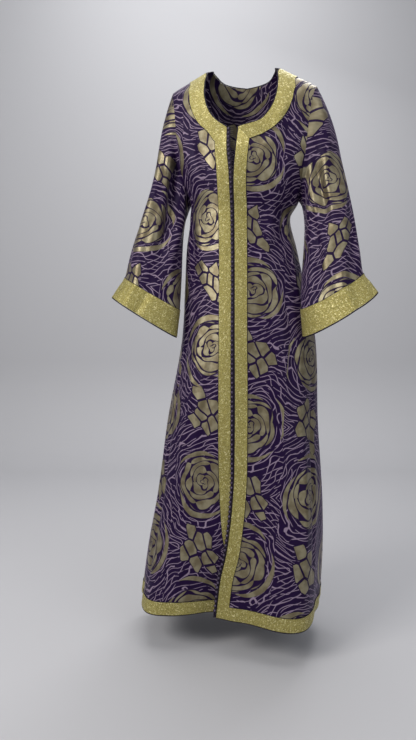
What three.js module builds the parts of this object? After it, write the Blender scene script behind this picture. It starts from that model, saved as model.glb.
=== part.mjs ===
// A Moroccan kaftan of brocade, open down the front and trimmed with gold braid, as it is worn.
// Millimetres, +Z up. The front faces -Y and the wearer's left side is +X.
// The origin lies between the shoulders, at the height of the inner ends of the shoulder seams.
import * as THREE from 'three';

// Thicknesses and clearances.
const CLOTH = 1.6; // brocade
const BRAID = 1.2; // gold braid, sewn on the brocade
const GAP = 0.3; // at every seam, and between cloth and trim
const PIPING = 1.4; // radius of the dark piping
const PIPING_SIDES = 6;
const STRIP = 3; // thickness of the strip of knots
const STRIP_WIDTH = 10; // widest that the strip of knots gets
const CROSSING = 60; // above and below the lap's top, where the strip changes sides

// Heights on the body.
const HEM = -1459;
const UNDERARM = -368;
const NECK_CORNER = -199; // where the neckline meets a front edge
const NECK_MITRE = -236; // where the two braids' inner edges meet there
const CENTRE_BACK_BRAID = -58; // lower edge of the neck braid at the centre back
const LAP_TOP = -1090; // below this the left front laps over the right one

// Widths of the braids.
const FRONT_BRAID = 32;
const MITRE_WIDTH = 34; // from a front edge to its mitre
const HEM_BRAID = 32;

// How finely the cloth is divided.
const SKIRT_ROWS = 17; // hem braid to underarm
const CHEST_ROWS = 10; // underarm to shoulder
const COLUMNS = 8; // front edge, or centre back, to side seam
const BACK_NECK_ROWS = 6; // of the chest rows, those that run into the neck braid at the back

// The wearer's left shoulder is carried a little lower: the drop for each millimetre sideways,
// the height from which it starts, and how much higher it is full.
const SHOULDER_TILT = 0.055;
const TILT_FROM = -800;
const TILT_RISE = 700;

// Sections are ellipses at the shoulders and grow squarer towards the hem. This is the exponent
// of their sines and cosines at the hem.
const HEM_SQUARENESS = 0.87;

// Level sections of the body, from the neck down to the hem.
const BODY = [
  { z: 0, centre: 0, half: 88, front: 48, back: 58 },
  { z: -30, centre: 0, half: 145, front: 56, back: 66 },
  { z: -59, centre: 0, half: 200, front: 65, back: 76 },
  { z: -86, centre: 0, half: 233, front: 75, back: 84 },
  { z: -125, centre: 0, half: 242, front: 86, back: 92 },
  { z: -168, centre: 0, half: 236.5, front: 96, back: 97 },
  { z: -212, centre: 0, half: 225, front: 106, back: 100 },
  { z: -255, centre: 0, half: 206, front: 118, back: 100 },
  { z: -295, centre: 0, half: 190, front: 121, back: 99 },
  { z: -330, centre: 0, half: 170, front: 120, back: 96 },
  { z: -368, centre: 0, half: 150.5, front: 116, back: 88 },
  { z: -415, centre: -12, half: 139, front: 107, back: 80 },
  { z: -499, centre: -8, half: 153, front: 110, back: 92 },
  { z: -600, centre: 0, half: 166, front: 118, back: 118 },
  { z: -740, centre: 10, half: 184, front: 130, back: 130 },
  { z: -982, centre: -8, half: 210, front: 140, back: 150 },
  { z: -1149, centre: -14, half: 226, front: 148, back: 160 },
  { z: -1335, centre: -31, half: 243, front: 158, back: 172 },
  { z: HEM, centre: -44, half: 247, front: 165, back: 180 },
];

// The largest folds of the skirt: where each crest or trough lies, how far it reaches to each
// side, how deep it is at the hem, how far it lowers the hem, and the height where it begins.
// Angles go round the body from the front, in degrees, and grow towards the wearer's left.
const FOLDS = [
  { angle: 42, reach: 34, depth: 48, drop: 10, from: -560 },
  { angle: -42, reach: 26, depth: 22, drop: 6, from: -700 },
  { angle: -72, reach: 15, depth: -12, drop: 0, from: -500 },
  { angle: 112, reach: 20, depth: 16, drop: 3, from: -640 },
  { angle: 150, reach: 22, depth: 26, drop: 6, from: -600 },
  { angle: 180, reach: 16, depth: -14, drop: 0, from: -560 },
  { angle: -150, reach: 24, depth: 30, drop: 6, from: -520 },
  { angle: -108, reach: 18, depth: 14, drop: 2, from: -760 },
];

// The right front draws back under the left one: how far, at each height.
const TUCK = [
  { z: -1000, depth: 0 },
  { z: LAP_TOP, depth: 5 },
  { z: -1186, depth: 9 },
  { z: -1300, depth: 16 },
  { z: -1390, depth: 34 },
  { z: HEM, depth: 50 },
];
const FOLD_GROWTH = 1.3; // exponent by which a fold deepens from where it begins to the hem

// The left front's loose corner draws in a little too.
const CORNER_LIFT = 14;
const CORNER_TOP = -1280;
const CORNER_REACH = 60;
const TUCK_FULL = 14; // from the left front's edge to where the tuck is at its deepest
const TUCK_REACH = 110; // from that edge to where the tuck fades out

// Where the two front edges run.
const FRONT_EDGES = [
  { z: NECK_CORNER, left: 1, right: -31 },
  { z: -266, left: -4, right: -28 },
  { z: -318, left: -8, right: -23 },
  { z: -357, left: -9.5, right: -21.5 },
  { z: -666, left: -5.5, right: -15.5 },
  { z: -969, left: -2.5, right: -14 },
  { z: LAP_TOP, left: -3, right: -13 },
  { z: -1186, left: -8, right: -9 },
  { z: -1249, left: -14.5, right: -4 },
  { z: -1299, left: -22, right: 3 },
  { z: -1363, left: -37, right: 4 },
  { z: HEM, left: -49, right: 2 },
];

// The neckline of each front above its corner, and the outer edge of its braid.
const FRONT_NECK = [
  { x: 54, z: -182, braidX: 84, braidZ: -206 },
  { x: 72, z: -164, braidX: 106, braidZ: -184 },
  { x: 87, z: -138, braidX: 124, braidZ: -155 },
  { x: 97, z: -104, braidX: 137, braidZ: -120 },
  { x: 100, z: -68, braidX: 144, braidZ: -84 },
  { x: 98, z: -30, braidX: 143, braidZ: -52 },
];

// Half of the back neckline and of its braid's lower edge, from the centre back to the shoulder.
const BACK_NECK = [
  { angle: 180, z: -22, braidAngle: 180, braidZ: CENTRE_BACK_BRAID },
  { angle: 150, z: -14, braidAngle: 153, braidZ: -45 },
  { angle: 120, z: -3, braidAngle: 128, braidZ: -28 },
  { angle: 90, z: 0, braidAngle: 90, braidZ: -26 },
];

// The armhole, from the underarm to the shoulder.
const ARMHOLE = [
  { z: UNDERARM, x: 150.5 },
  { z: -356, x: 153 },
  { z: -330, x: 158 },
  { z: -295, x: 165 },
  { z: -255, x: 171 },
  { z: -212, x: 176 },
  { z: -168, x: 180.5 },
  { z: -125, x: 186 },
  { z: -86, x: 193 },
  { z: -59, x: 200 },
];
const SHOULDER = ARMHOLE[ARMHOLE.length - 1].z;

// Sections of a sleeve below the armhole, given for the left one: its outer and inner edge seen
// from the front, the middle of its depth, and half of that depth. The left sleeve is fuller: its
// outer edge bows out, and its front sags. The last three sections carry the cuff's braid.
const SLEEVE = [
  { outerX: 214, outerZ: -96, innerX: 157, innerZ: -378, middle: 2, half: 71, bow: 4, sag: 0 },
  { outerX: 228, outerZ: -150, innerX: 160, innerZ: -388, middle: -2, half: 67, bow: 10, sag: 0 },
  { outerX: 237, outerZ: -206, innerX: 162.5, innerZ: -401, middle: -7, half: 62, bow: 16, sag: 0 },
  { outerX: 243, outerZ: -263, innerX: 165, innerZ: -420, middle: -18, half: 58, bow: 20, sag: 0 },
  { outerX: 252, outerZ: -317, innerX: 167, innerZ: -451, middle: -28, half: 57, bow: 22, sag: 0 },
  { outerX: 264, outerZ: -369, innerX: 166, innerZ: -490, middle: -42, half: 56, bow: 20, sag: 0 },
  { outerX: 279, outerZ: -422, innerX: 164, innerZ: -534, middle: -56, half: 55, bow: 14, sag: 4 },
  { outerX: 292, outerZ: -474, innerX: 161.5, innerZ: -580, middle: -70, half: 52, bow: 8, sag: 8 },
  { outerX: 303, outerZ: -530, innerX: 160, innerZ: -628, middle: -84, half: 48, bow: 4, sag: 13 },
  { outerX: 312.5, outerZ: -586, innerX: 160, innerZ: -673, middle: -95, half: 46, bow: 0, sag: 17 },
  { outerX: 328, outerZ: -612, innerX: 163, innerZ: -708, middle: -100, half: 45, bow: 0, sag: 18 },
  { outerX: 344, outerZ: -638, innerX: 166, innerZ: -744, middle: -105, half: 44, bow: 0, sag: 18 },
];
const CUFF_RINGS = 3;

const BROCADE_FINISH = { color: 0x35205c, roughness: 0.45, metalness: 0.15 };
const BRAID_FINISH = { color: 0xa3945a, roughness: 0.5, metalness: 0.5 };
const CORD_FINISH = { color: 0x1d1226, roughness: 0.6, metalness: 0 };

const RIGHT_ANGLE = Math.PI / 2;
const radians = THREE.MathUtils.degToRad;
const { lerp, clamp, smoothstep, euclideanModulo } = THREE.MathUtils;

// ---- Curves through the tables ------------------------------------------------------------

// A value as a smooth function of height, through a table's rows and without overshoot.
function byHeight(table, name) {
  const rows = [...table].sort((a, b) => a.z - b.z);
  const slopes = rows.slice(1).map((row, i) => (row[name] - rows[i][name]) / (row.z - rows[i].z));
  const tangents = rows.map((row, i) => {
    const before = slopes[Math.max(i - 1, 0)];
    const after = slopes[Math.min(i, slopes.length - 1)];
    return before * after > 0 ? (2 * before * after) / (before + after) : 0;
  });
  return (z) => {
    const height = clamp(z, rows[0].z, rows[rows.length - 1].z);
    const above = rows.findIndex((row) => row.z >= height);
    const i = clamp(above - 1, 0, slopes.length - 1);
    const span = rows[i + 1].z - rows[i].z;
    const t = (height - rows[i].z) / span;
    const low = (1 + 2 * t) * (1 - t) ** 2 * rows[i][name] + t * (1 - t) ** 2 * span * tangents[i];
    const high = t * t * (3 - 2 * t) * rows[i + 1][name] - t * t * (1 - t) * span * tangents[i + 1];
    return low + high;
  };
}

const centre = byHeight(BODY, 'centre');
const half = byHeight(BODY, 'half');
const frontDepth = byHeight(BODY, 'front');
const backDepth = byHeight(BODY, 'back');
const tuck = byHeight(TUCK, 'depth');
const leftEdge = byHeight(FRONT_EDGES, 'left');
const rightEdge = byHeight(FRONT_EDGES, 'right');
const armholeX = byHeight(ARMHOLE, 'x');

// A place on the body is an angle round it and a height. This curve runs through such places.
function placeCurve(places) {
  const path = places.map((place) => new THREE.Vector3(place.angle, place.z / 100, 0));
  const curve = new THREE.CatmullRomCurve3(path);
  return (t) => {
    const point = curve.getPoint(t);
    return { angle: point.x, z: point.y * 100 };
  };
}

// A row of the cloth drops soon after it leaves the inner place, and comes level to the seam.
const alongRow = (inner, seam, t) => ({
  angle: lerp(inner.angle, seam.angle, t),
  z: lerp(inner.z, seam.z, 1 - (1 - t) ** 2),
});

// ---- The surface of the body --------------------------------------------------------------

const squareness = (z) => lerp(HEM_SQUARENESS, 1, clamp((z - HEM) / (UNDERARM - HEM), 0, 1));
const power = (value, exponent) => Math.sign(value) * Math.abs(value) ** exponent;

// The angle on the front at which the body's surface has a given x.
function angleAt(x, z) {
  const across = clamp((x - centre(z)) / half(z), -1, 1);
  return Math.asin(power(across, 1 / squareness(z)));
}

const tilted = (point) => {
  point.z -= SHOULDER_TILT * point.x * clamp((point.z - TILT_FROM) / TILT_RISE, 0, 1);
  return point;
};

// A point of the outer face of the cloth. A panel may draw in by its own amount.
function bodyPoint({ angle, z }, drawnIn = () => 0) {
  const across = power(Math.sin(angle), squareness(z));
  const forward = power(Math.cos(angle), squareness(z));
  const depth = forward > 0 ? frontDepth(z) : backDepth(z);
  const point = new THREE.Vector3(centre(z) + half(z) * across, -depth * forward, z);
  const outward = new THREE.Vector3(across / half(z), -forward / depth, 0).normalize();
  for (const fold of FOLDS) {
    const ahead = euclideanModulo(angle - radians(fold.angle) + Math.PI, 2 * Math.PI);
    const away = Math.abs(ahead - Math.PI);
    if (away >= radians(fold.reach) || z > fold.from) continue;
    const crest = Math.cos((away / radians(fold.reach)) * RIGHT_ANGLE) ** 2;
    const growth = ((fold.from - z) / (fold.from - HEM)) ** FOLD_GROWTH;
    point.addScaledVector(outward, fold.depth * crest * growth);
    point.z -= fold.drop * crest * growth;
  }
  point.addScaledVector(outward, -drawnIn(point.x, z));
  return tilted(point);
}

// The right front's lapped edge draws in, and so does the left front's loose corner, a little.
function rightDrawnIn(x, z) {
  return tuck(z) * smoothstep(x, leftEdge(z) - TUCK_REACH, leftEdge(z) - TUCK_FULL);
}

function leftDrawnIn(x, z) {
  const fromEdge = smoothstep(x, leftEdge(z), leftEdge(z) + CORNER_REACH);
  return CORNER_LIFT * smoothstep(-z, -CORNER_TOP, -HEM) * (1 - fromEdge);
}

// ---- The cloth as one mesh of four-sided faces, whose panels share the points of their seams --

const points = [];
const numbered = new Map();

function share(point) {
  const key = point.toArray().map((value) => Math.round(value * 1000)).join(' ');
  if (!numbered.has(key)) numbered.set(key, points.push(point) - 1);
  return numbered.get(key);
}

// The faces between the rows and columns of a grid, wound so that they face outwards.
function faces(grid, flipped, firstRow, lastRow, firstColumn, lastColumn) {
  const list = [];
  for (let row = firstRow ?? 0; row < (lastRow ?? grid.length - 1); row += 1) {
    const [below, above] = [grid[row], grid[row + 1]];
    for (let i = firstColumn ?? 0; i < (lastColumn ?? below.length - 1); i += 1) {
      const face = [below[i], below[i + 1], above[i + 1], above[i]];
      list.push(flipped ? face.reverse() : face);
    }
  }
  return list;
}

const skirtTop = HEM + HEM_BRAID;
const skirtHeight = (row, top) => lerp(skirtTop, top, row / SKIRT_ROWS);

// The armhole and the side seam, as places on the front; the back's mirror them.
function armhole(row) {
  const z = lerp(UNDERARM, SHOULDER, (1 - Math.cos((Math.PI * row) / CHEST_ROWS)) / 2);
  return { angle: row % CHEST_ROWS ? angleAt(armholeX(z), z) : RIGHT_ANGLE, z };
}

const sidePlace = (row) =>
  row <= SKIRT_ROWS ? { angle: RIGHT_ANGLE, z: skirtHeight(row, UNDERARM) } : armhole(row - SKIRT_ROWS);

// One front. Column 0 is its free edge, column 1 the inner edge of its braid.
function frontPanel(side) {
  const edge = side > 0 ? leftEdge : rightEdge;
  const drawnIn = side > 0 ? leftDrawnIn : rightDrawnIn;
  const onEdge = (z, inward) => ({ angle: angleAt(edge(z) + side * inward, z) * side, z });
  const neck = placeCurve([
    onEdge(NECK_CORNER, 0),
    ...FRONT_NECK.map(({ x, z }) => ({ angle: angleAt(x, z), z })),
    { angle: RIGHT_ANGLE, z: 0 },
  ]);
  const neckBraid = placeCurve([
    onEdge(NECK_MITRE, MITRE_WIDTH),
    ...FRONT_NECK.map(({ braidX, braidZ }) => ({ angle: angleAt(braidX, braidZ), z: braidZ })),
    { angle: RIGHT_ANGLE, z: BACK_NECK[BACK_NECK.length - 1].braidZ },
  ]);
  const rowOf = (free, braid, seam) => {
    const row = [free];
    for (let column = 0; column <= COLUMNS; column += 1) {
      row.push(alongRow(braid, seam, column / COLUMNS));
    }
    return row.map(({ angle, z }) => share(bodyPoint({ angle: angle * side, z }, drawnIn)));
  };
  const grid = [rowOf(onEdge(HEM, 0), onEdge(HEM, FRONT_BRAID), { angle: RIGHT_ANGLE, z: HEM })];
  for (let row = 0; row < SKIRT_ROWS; row += 1) {
    const free = onEdge(skirtHeight(row, NECK_CORNER), 0);
    grid.push(rowOf(free, onEdge(skirtHeight(row, NECK_MITRE), FRONT_BRAID), sidePlace(row)));
  }
  for (let row = 0; row <= CHEST_ROWS; row += 1) {
    grid.push(rowOf(neck(row / CHEST_ROWS), neckBraid(row / CHEST_ROWS), sidePlace(SKIRT_ROWS + row)));
  }
  return grid;
}

// Half of the back. Column 0 is the centre back and then the lower edge of the neck braid.
function backHalf(side) {
  const centreRows = SKIRT_ROWS + CHEST_ROWS - BACK_NECK_ROWS;
  const neckPlaces = BACK_NECK.map((row) => ({ angle: radians(row.angle), z: row.z }));
  const braidPlaces = BACK_NECK.map((row) => ({ angle: radians(row.braidAngle), z: row.braidZ }));
  const [neck, braid] = [placeCurve(neckPlaces), placeCurve(braidPlaces)];
  const at = ({ angle, z }) => share(bodyPoint({ angle: angle * side, z }));
  const grid = [];
  const rowOf = (inner, seam) => {
    const outer = { angle: Math.PI - seam.angle, z: seam.z };
    const row = [];
    for (let column = 0; column <= COLUMNS; column += 1) {
      row.push(at(alongRow(inner, outer, column / COLUMNS)));
    }
    grid.push(row);
  };
  rowOf({ angle: Math.PI, z: HEM }, { angle: RIGHT_ANGLE, z: HEM });
  for (let row = 0; row < centreRows; row += 1) {
    rowOf({ angle: Math.PI, z: lerp(skirtTop, CENTRE_BACK_BRAID, row / centreRows) }, sidePlace(row));
  }
  const strip = [];
  for (let row = 0; row <= BACK_NECK_ROWS; row += 1) {
    const t = row / BACK_NECK_ROWS;
    rowOf(braid(t), sidePlace(centreRows + row));
    strip.push([at(neck(t)), grid[grid.length - 1][0]]);
  }
  return { grid, strip };
}

// A sleeve, as rings from the armhole to the cuff. Each ring starts at the shoulder's side,
// goes down its front to the inner edge, and comes back up behind.
function sleeveRings(side, front, back) {
  const armholeFront = front.slice(-CHEST_ROWS - 1).map((row) => row[row.length - 1]).reverse();
  const armholeBack = back.slice(-CHEST_ROWS - 1).map((row) => row[row.length - 1]);
  const rings = [[...armholeFront, ...armholeBack.slice(1, -1)]];
  const around = 2 * CHEST_ROWS;
  for (const section of SLEEVE) {
    const ring = [];
    const [bow, sag] = side > 0 ? [section.bow, section.sag] : [0, 0];
    for (let i = 0; i < around; i += 1) {
      const turn = (2 * Math.PI * i) / around;
      const out = (1 + Math.cos(turn)) / 2;
      const x = lerp(section.innerX, section.outerX + bow, out) * side;
      const y = section.middle - section.half * Math.sin(turn);
      const z = lerp(section.innerZ, section.outerZ, out) - sag * Math.max(Math.sin(turn), 0);
      ring.push(share(tilted(new THREE.Vector3(x, y, z))));
    }
    rings.push(ring);
  }
  return rings.map((ring) => [...ring, ring[0]]);
}

const left = { front: frontPanel(1), ...backHalf(1) };
const right = { front: frontPanel(-1), ...backHalf(-1) };
left.sleeve = sleeveRings(1, left.front, left.grid);
right.sleeve = sleeveRings(-1, right.front, right.grid);

const panels = {
  front_left: faces(left.front, false),
  front_right: faces(right.front, true),
  back: [
    ...faces(left.grid, true),
    ...faces(right.grid, false),
    ...faces(left.strip, true),
    ...faces(right.strip, false),
  ],
  sleeve_left: faces(left.sleeve, false),
  sleeve_right: faces(right.sleeve, true),
};

// The free edges, each as the row of points along it, with the cloth on the left of the way it runs.
const neckOf = (body) => body.front.slice(-CHEST_ROWS - 1).map((row) => row[0]);
const backNeckOf = (body) => body.strip.map((row) => row[0]);
const backNeck = [...backNeckOf(left).reverse(), ...backNeckOf(right).slice(1)];
const neckline = [...neckOf(left), ...backNeck.slice(1, -1), ...neckOf(right).reverse()].reverse();
const hemline = [
  ...left.front[0],
  ...[...left.grid[0]].reverse().slice(1),
  ...right.grid[0].slice(1),
  ...[...right.front[0]].reverse().slice(1),
];
const placketRows = SKIRT_ROWS + 1;
const frontEdge = left.front.slice(0, placketRows + 1).map((row) => row[0]).reverse();

// The zones that the braids cover.
const cuffFrom = SLEEVE.length + 1 - CUFF_RINGS;
const braids = {
  braid_front_left: faces(left.front, false, 0, placketRows, 0, 1),
  braid_front_right: faces(right.front, true, 0, placketRows, 0, 1),
  braid_neck: [
    ...faces(left.front, false, placketRows, undefined, 0, 1),
    ...faces(right.front, true, placketRows, undefined, 0, 1),
    ...faces(left.strip, true),
    ...faces(right.strip, false),
  ],
  braid_hem: [
    ...faces(left.front, false, 0, 1, 1),
    ...faces(right.front, true, 0, 1, 1),
    ...faces(left.grid, true, 0, 1),
    ...faces(right.grid, false, 0, 1),
  ],
  braid_cuff_left: faces(left.sleeve, false, cuffFrom),
  braid_cuff_right: faces(right.sleeve, true, cuffFrom),
};

// The outward direction at every point of the cloth.
const normals = points.map(() => new THREE.Vector3());
for (const face of Object.values(panels).flat()) {
  const [a, b, c, d] = face.map((i) => points[i]);
  const facing = c.clone().sub(a).cross(d.clone().sub(b)).normalize();
  face.forEach((i) => normals[i].add(facing));
}
normals.forEach((normal) => normal.normalize());

// Round an armhole the cloth turns from the body to the sleeve. There it faces away from the
// armhole's middle, and a little to the side.
const SIDEWAYS = 0.5;
for (const [side, ring] of [[1, left.sleeve[0]], [-1, right.sleeve[0]]]) {
  const box = new THREE.Box3().setFromPoints(ring.map((i) => points[i]));
  const middle = box.getCenter(new THREE.Vector3());
  const size = box.getSize(new THREE.Vector3());
  for (const i of ring) {
    const away = points[i].clone().sub(middle);
    normals[i].set(0, away.y / size.y ** 2, away.z / size.z ** 2).normalize();
    normals[i].setX(side * SIDEWAYS).normalize();
  }
}

// ---- Solids -------------------------------------------------------------------------------

const garment = new THREE.Group();

function addSolid(name, vertices, triangles, finish) {
  const geometry = new THREE.BufferGeometry().setFromPoints(vertices);
  geometry.setIndex(triangles.flat());
  const mesh = new THREE.Mesh(geometry, new THREE.MeshStandardMaterial(finish));
  mesh.name = name;
  garment.add(mesh);
}

// Cuts a four-sided face along its shorter diagonal.
function split([a, b, c, d]) {
  const alongAC = points[a].distanceTo(points[c]) < points[b].distanceTo(points[d]);
  return alongAC ? [[a, b, c], [a, c, d]] : [[b, c, d], [b, d, a]];
}

// The edges of a zone of faces that none of its other faces shares.
function rimOf(zone) {
  const edges = new Map();
  for (const face of zone) {
    face.forEach((a, i) => edges.set(`${a} ${face[(i + 1) % 4]}`, [a, face[(i + 1) % 4]]));
  }
  return [...edges.values()].filter(([a, b]) => !edges.has(`${b} ${a}`));
}

// A wall over a zone of the cloth, between two distances from it. Its rim stands back by half
// a gap, so that neighbours in a seam stay clear of each other.
function addWall(name, zone, inner, outer, finish) {
  const rim = rimOf(zone);
  const inward = new Map();
  for (const [a, b] of rim) {
    const along = points[b].clone().sub(points[a]);
    for (const i of [a, b]) {
      const direction = normals[i].clone().cross(along).normalize();
      inward.set(i, (inward.get(i) ?? new THREE.Vector3()).add(direction));
    }
  }
  const used = [...new Set(zone.flat())];
  const order = new Map(used.map((i, n) => [i, n]));
  const shell = (distance) =>
    used.map((i) => {
      const point = points[i].clone().addScaledVector(normals[i], distance);
      const pull = inward.get(i);
      return pull ? point.addScaledVector(pull, GAP / pull.lengthSq()) : point;
    });
  const innerOf = (i) => order.get(i) + used.length;
  const triangles = zone.flatMap(split).flatMap(([a, b, c]) => [
    [order.get(a), order.get(b), order.get(c)],
    [innerOf(c), innerOf(b), innerOf(a)],
  ]);
  for (const [a, b] of rim) {
    triangles.push([order.get(b), order.get(a), innerOf(a)], [order.get(b), innerOf(a), innerOf(b)]);
  }
  addSolid(name, [...shell(outer), ...shell(inner)], triangles, finish);
}

// A round cord beside an edge of the cloth, on the side that the cloth doesn't reach.
function addPiping(name, path, closed, finish) {
  const count = path.length;
  const neighbour = (i, step) =>
    closed ? path[(i + step + count) % count] : path[clamp(i + step, 0, count - 1)];
  const vertices = [];
  const sides = [...Array(PIPING_SIDES).keys()];
  path.forEach((point, i) => {
    const along = points[neighbour(i, 1)].clone().sub(points[neighbour(i, -1)]).normalize();
    const out = along.clone().cross(normals[point]).normalize();
    const up = out.clone().cross(along).normalize();
    for (const side of sides) {
      const turn = (2 * Math.PI * side) / PIPING_SIDES;
      const aside = GAP + PIPING + PIPING * Math.cos(turn);
      const above = (BRAID - CLOTH) / 2 + PIPING * Math.sin(turn);
      vertices.push(points[point].clone().addScaledVector(out, aside).addScaledVector(up, above));
    }
  });
  const triangles = [];
  const at = (ring, side) => (ring % count) * PIPING_SIDES + (side % PIPING_SIDES);
  for (let ring = 0; ring < (closed ? count : count - 1); ring += 1) {
    for (const side of sides) {
      triangles.push([at(ring, side), at(ring + 1, side + 1), at(ring, side + 1)]);
      triangles.push([at(ring, side), at(ring + 1, side), at(ring + 1, side + 1)]);
    }
  }
  for (const side of closed ? [] : sides.slice(1, -1)) {
    triangles.push([at(0, 0), at(0, side), at(0, side + 1)]);
    triangles.push([at(count - 1, 0), at(count - 1, side + 1), at(count - 1, side)]);
  }
  addSolid(name, vertices, triangles, finish);
}

// The strip of knots and loops between the two front edges. Above the lap it runs beside the
// right front's edge, and below it beside the left front's, over the right front.
function addStrip(name, finish) {
  const vertices = [];
  const heights = [HEM];
  for (let row = 0; row <= SKIRT_ROWS; row += 1) heights.push(skirtHeight(row, NECK_CORNER));
  const besidePiping = 2 * PIPING + 2 * GAP;
  for (const z of heights) {
    const lapped = smoothstep(-z, -LAP_TOP - CROSSING, -LAP_TOP + CROSSING);
    const start = lerp(rightEdge(z) + GAP, leftEdge(z) - besidePiping - STRIP_WIDTH / 2, lapped);
    const end = Math.min(start + STRIP_WIDTH, leftEdge(z) - besidePiping);
    for (const [x, depth] of [[start, 0], [end, 0], [end, STRIP], [start, STRIP]]) {
      const point = bodyPoint({ angle: angleAt(x, z), z }, leftDrawnIn);
      point.y += depth - STRIP / 2;
      vertices.push(point);
    }
  }
  const triangles = [];
  const last = 4 * (heights.length - 1);
  for (let ring = 0; ring < last; ring += 4) {
    for (let side = 0; side < 4; side += 1) {
      const [here, next] = [ring + side, ring + ((side + 1) % 4)];
      triangles.push([here, next, next + 4], [here, next + 4, here + 4]);
    }
  }
  triangles.push([0, 2, 1], [0, 3, 2], [last, last + 1, last + 2], [last, last + 2, last + 3]);
  addSolid(name, vertices, triangles, finish);
}

for (const [name, zone] of Object.entries(panels)) addWall(name, zone, -CLOTH, 0, BROCADE_FINISH);
for (const [name, zone] of Object.entries(braids)) addWall(name, zone, GAP, GAP + BRAID, BRAID_FINISH);

const cuffEdge = (body) => body.sleeve[body.sleeve.length - 1].slice(1);
addPiping('piping_neck', neckline, false, CORD_FINISH);
addPiping('piping_front', frontEdge, false, CORD_FINISH);
addPiping('piping_hem', hemline, false, CORD_FINISH);
addPiping('piping_cuff_left', cuffEdge(left).reverse(), true, CORD_FINISH);
addPiping('piping_cuff_right', cuffEdge(right), true, CORD_FINISH);
addStrip('button_strip', CORD_FINISH);

export default garment;
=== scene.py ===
# A Moroccan kaftan of rose brocade, worn open down the front and edged with gold braid.
import math
import random

import bpy
import numpy as np
from mathutils import Matrix, Vector


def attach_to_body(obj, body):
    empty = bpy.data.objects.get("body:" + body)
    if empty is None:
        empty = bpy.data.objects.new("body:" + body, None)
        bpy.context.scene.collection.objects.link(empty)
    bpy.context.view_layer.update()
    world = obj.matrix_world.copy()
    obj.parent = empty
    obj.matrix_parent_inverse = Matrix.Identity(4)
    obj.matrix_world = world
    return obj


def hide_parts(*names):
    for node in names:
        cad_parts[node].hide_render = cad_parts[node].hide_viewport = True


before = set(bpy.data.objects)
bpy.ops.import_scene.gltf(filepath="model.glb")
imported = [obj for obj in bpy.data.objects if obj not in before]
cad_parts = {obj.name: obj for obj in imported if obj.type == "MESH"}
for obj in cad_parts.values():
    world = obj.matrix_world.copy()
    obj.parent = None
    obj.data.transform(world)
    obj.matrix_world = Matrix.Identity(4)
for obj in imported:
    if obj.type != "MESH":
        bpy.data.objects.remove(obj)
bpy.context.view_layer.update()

scene = bpy.context.scene
MM = 0.001

# ---- Camera, floor and light ------------------------------------------------------------------
# A level camera stands a little to the wearer's left of the kaftan, at the height of the hips.
# A pale seamless floor runs up into a backdrop, under large soft lights.
CAMERA_TURN = math.radians(12)
FLOOR, FLOOR_START = -1.559, -3.0
WALL_START, WALL_BEND, WALL_TOP, WALL_REACH = 2.4, 0.8, 3.6, 5.0
BEND_STEPS = 8


def add_object(name, data):
    made = bpy.data.objects.new(name, data)
    scene.collection.objects.link(made)
    return made


def new_material(name):
    """A new material, and its node tree."""
    made = bpy.data.materials.new(name)
    made.use_nodes = True
    return made, made.node_tree


def feed(tree_, node, sources):
    """Sets inputs of a node to numbers or colours, or links them to outputs of other nodes."""
    for name, source in sources.items():
        if isinstance(source, (int, float, tuple)):
            node.inputs[name].default_value = source
        else:
            tree_.links.new(source, node.inputs[name])


def shade(tree_, sources):
    feed(tree_, tree_.nodes["Principled BSDF"], sources)


camera = add_object("camera", bpy.data.cameras.new("camera"))
scene.camera = camera
camera.location = (0.2257, -1.5428, -0.832)
camera.rotation_euler = (math.radians(90), 0, CAMERA_TURN)
camera.data.lens = 27.24

backdrop_profile = [(FLOOR_START, FLOOR), (WALL_START, FLOOR)]
for step in range(1, BEND_STEPS + 1):
    turn = math.radians(90) * step / BEND_STEPS
    backdrop_profile.append((WALL_START + WALL_BEND * math.sin(turn),
                             FLOOR + WALL_BEND * (1 - math.cos(turn))))
backdrop_profile.append((WALL_START + WALL_BEND, WALL_TOP))
backdrop_vertices = [(x, y, z) for y, z in backdrop_profile for x in (-WALL_REACH, WALL_REACH)]
backdrop_faces = [(i, i + 1, i + 3, i + 2) for i in range(0, 2 * len(backdrop_profile) - 2, 2)]
backdrop_mesh = bpy.data.meshes.new("backdrop")
backdrop_mesh.from_pydata(backdrop_vertices, [], backdrop_faces)
backdrop_mesh.shade_smooth()
backdrop = add_object("backdrop", backdrop_mesh)
backdrop.rotation_euler = (0, 0, CAMERA_TURN)
paper, paper_tree = new_material("backdrop paper")
shade(paper_tree, {"Base Color": (0.47, 0.47, 0.49, 1), "Roughness": 0.65})
backdrop_mesh.materials.append(paper)


def soft_light(name, place, aim, size, power, colour):
    light = bpy.data.lights.new(name, "AREA")
    light.size = size
    light.energy = power
    light.color = colour
    lamp = add_object(name, light)
    lamp.location = place
    lamp.rotation_euler = (Vector(aim) - Vector(place)).to_track_quat("-Z", "Y").to_euler()


soft_light("key", (-1.7, -2.3, 0.9), (0, 0, -0.7), 1.3, 70, (1.0, 0.97, 0.93))
soft_light("fill", (2.3, -2.0, 0.2), (0, 0, -0.8), 1.8, 20, (0.93, 0.96, 1.0))
soft_light("top", (0.2, -0.4, 2.1), (0, 0.2, -0.6), 2.0, 32, (1.0, 0.98, 0.96))
soft_light("wash", (-0.6, 1.5, 2.9), (-0.9, 3.2, -0.4), 2.4, 55, (1.0, 1.0, 1.0))
soft_light("behind", (0.7, 2.0, 2.5), (0, 0, -0.7), 1.0, 26, (1.0, 1.0, 1.0))
scene.world = bpy.data.worlds.new("room")
scene.world.use_nodes = True
room = scene.world.node_tree.nodes["Background"]
room.inputs["Color"].default_value = (0.80, 0.82, 0.86, 1)
room.inputs["Strength"].default_value = 0.36
scene.view_settings.view_transform = "Standard"

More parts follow.
